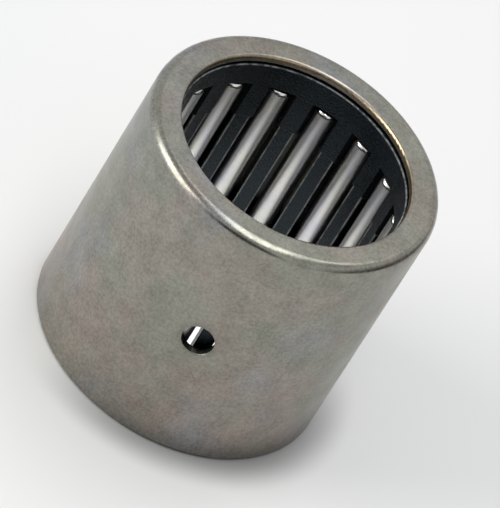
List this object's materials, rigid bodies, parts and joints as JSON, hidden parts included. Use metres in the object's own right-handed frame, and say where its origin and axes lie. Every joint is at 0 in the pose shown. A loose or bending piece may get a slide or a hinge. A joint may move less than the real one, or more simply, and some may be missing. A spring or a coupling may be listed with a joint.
{
  "type": "needle roller bearing",
  "caption": "Drawn-cup needle roller bearing, open at both ends, with caged rollers in a thin steel cup that has a turned-in lip at each end and a radial oil hole.",
  "frame": {"origin": "centre of the lower end face, where the bearing's axis meets it", "axes": "+Z along the bearing's axis, from the lower end face to the upper one; the oil hole faces -Y"},
  "size_m": [0.032, 0.032, 0.03],
  "materials": {
    "cup_steel": "satin",
    "cage_plastic": "matte",
    "roller_steel": "polished"
  },
  "bodies": {
    "cup": {"outer_cup": "cup_steel"},
    "cage": {"roller_cage": "cage_plastic"},
    "needle_01": {"roller_01": "roller_steel"},
    "needle_02": {"roller_02": "roller_steel"},
    "needle_03": {"roller_03": "roller_steel"},
    "needle_04": {"roller_04": "roller_steel"},
    "needle_05": {"roller_05": "roller_steel"},
    "needle_06": {"roller_06": "roller_steel"},
    "needle_07": {"roller_07": "roller_steel"},
    "needle_08": {"roller_08": "roller_steel"},
    "needle_09": {"roller_09": "roller_steel"},
    "needle_10": {"roller_10": "roller_steel"},
    "needle_11": {"roller_11": "roller_steel"},
    "needle_12": {"roller_12": "roller_steel"},
    "needle_13": {"roller_13": "roller_steel"},
    "needle_14": {"roller_14": "roller_steel"},
    "needle_15": {"roller_15": "roller_steel"},
    "needle_16": {"roller_16": "roller_steel"}
  },
  "joints": [
    {"name": "cage_spin", "type": "hinge", "parent": "cup", "child": "cage", "pos_m": [0, 0, 0.015], "axis": [0, 0, 1], "continuous": true},
    {"name": "needle_01_spin", "type": "hinge", "parent": "cage", "child": "needle_01", "pos_m": [0.01332, 0.00347, 0.015], "axis": [0, 0, 1], "continuous": true},
    {"name": "needle_02_spin", "type": "hinge", "parent": "cage", "child": "needle_02", "pos_m": [0.01097, 0.0083, 0.015], "axis": [0, 0, 1], "continuous": true},
    {"name": "needle_03_spin", "type": "hinge", "parent": "cage", "child": "needle_03", "pos_m": [0.00696, 0.01187, 0.015], "axis": [0, 0, 1], "continuous": true},
    {"name": "needle_04_spin", "type": "hinge", "parent": "cage", "child": "needle_04", "pos_m": [0.00189, 0.01363, 0.015], "axis": [0, 0, 1], "continuous": true},
    {"name": "needle_05_spin", "type": "hinge", "parent": "cage", "child": "needle_05", "pos_m": [-0.00347, 0.01332, 0.015], "axis": [0, 0, 1], "continuous": true},
    {"name": "needle_06_spin", "type": "hinge", "parent": "cage", "child": "needle_06", "pos_m": [-0.0083, 0.01097, 0.015], "axis": [0, 0, 1], "continuous": true},
    {"name": "needle_07_spin", "type": "hinge", "parent": "cage", "child": "needle_07", "pos_m": [-0.01187, 0.00696, 0.015], "axis": [0, 0, 1], "continuous": true},
    {"name": "needle_08_spin", "type": "hinge", "parent": "cage", "child": "needle_08", "pos_m": [-0.01363, 0.00189, 0.015], "axis": [0, 0, 1], "continuous": true},
    {"name": "needle_09_spin", "type": "hinge", "parent": "cage", "child": "needle_09", "pos_m": [-0.01332, -0.00347, 0.015], "axis": [0, 0, 1], "continuous": true},
    {"name": "needle_10_spin", "type": "hinge", "parent": "cage", "child": "needle_10", "pos_m": [-0.01097, -0.0083, 0.015], "axis": [0, 0, 1], "continuous": true},
    {"name": "needle_11_spin", "type": "hinge", "parent": "cage", "child": "needle_11", "pos_m": [-0.00696, -0.01187, 0.015], "axis": [0, 0, 1], "continuous": true},
    {"name": "needle_12_spin", "type": "hinge", "parent": "cage", "child": "needle_12", "pos_m": [-0.00189, -0.01363, 0.015], "axis": [0, 0, 1], "continuous": true},
    {"name": "needle_13_spin", "type": "hinge", "parent": "cage", "child": "needle_13", "pos_m": [0.00347, -0.01332, 0.015], "axis": [0, 0, 1], "continuous": true},
    {"name": "needle_14_spin", "type": "hinge", "parent": "cage", "child": "needle_14", "pos_m": [0.0083, -0.01097, 0.015], "axis": [0, 0, 1], "continuous": true},
    {"name": "needle_15_spin", "type": "hinge", "parent": "cage", "child": "needle_15", "pos_m": [0.01187, -0.00696, 0.015], "axis": [0, 0, 1], "continuous": true},
    {"name": "needle_16_spin", "type": "hinge", "parent": "cage", "child": "needle_16", "pos_m": [0.01363, -0.00189, 0.015], "axis": [0, 0, 1], "continuous": true}
  ],
  "couplings": [
    {"joint": "needle_01_spin", "follows": "cage_spin", "ratio": -12.032},
    {"joint": "needle_02_spin", "follows": "cage_spin", "ratio": -12.032},
    {"joint": "needle_03_spin", "follows": "cage_spin", "ratio": -12.032},
    {"joint": "needle_04_spin", "follows": "cage_spin", "ratio": -12.032},
    {"joint": "needle_05_spin", "follows": "cage_spin", "ratio": -12.032},
    {"joint": "needle_06_spin", "follows": "cage_spin", "ratio": -12.032},
    {"joint": "needle_07_spin", "follows": "cage_spin", "ratio": -12.032},
    {"joint": "needle_08_spin", "follows": "cage_spin", "ratio": -12.032},
    {"joint": "needle_09_spin", "follows": "cage_spin", "ratio": -12.032},
    {"joint": "needle_10_spin", "follows": "cage_spin", "ratio": -12.032},
    {"joint": "needle_11_spin", "follows": "cage_spin", "ratio": -12.032},
    {"joint": "needle_12_spin", "follows": "cage_spin", "ratio": -12.032},
    {"joint": "needle_13_spin", "follows": "cage_spin", "ratio": -12.032},
    {"joint": "needle_14_spin", "follows": "cage_spin", "ratio": -12.032},
    {"joint": "needle_15_spin", "follows": "cage_spin", "ratio": -12.032},
    {"joint": "needle_16_spin", "follows": "cage_spin", "ratio": -12.032}
  ]
}
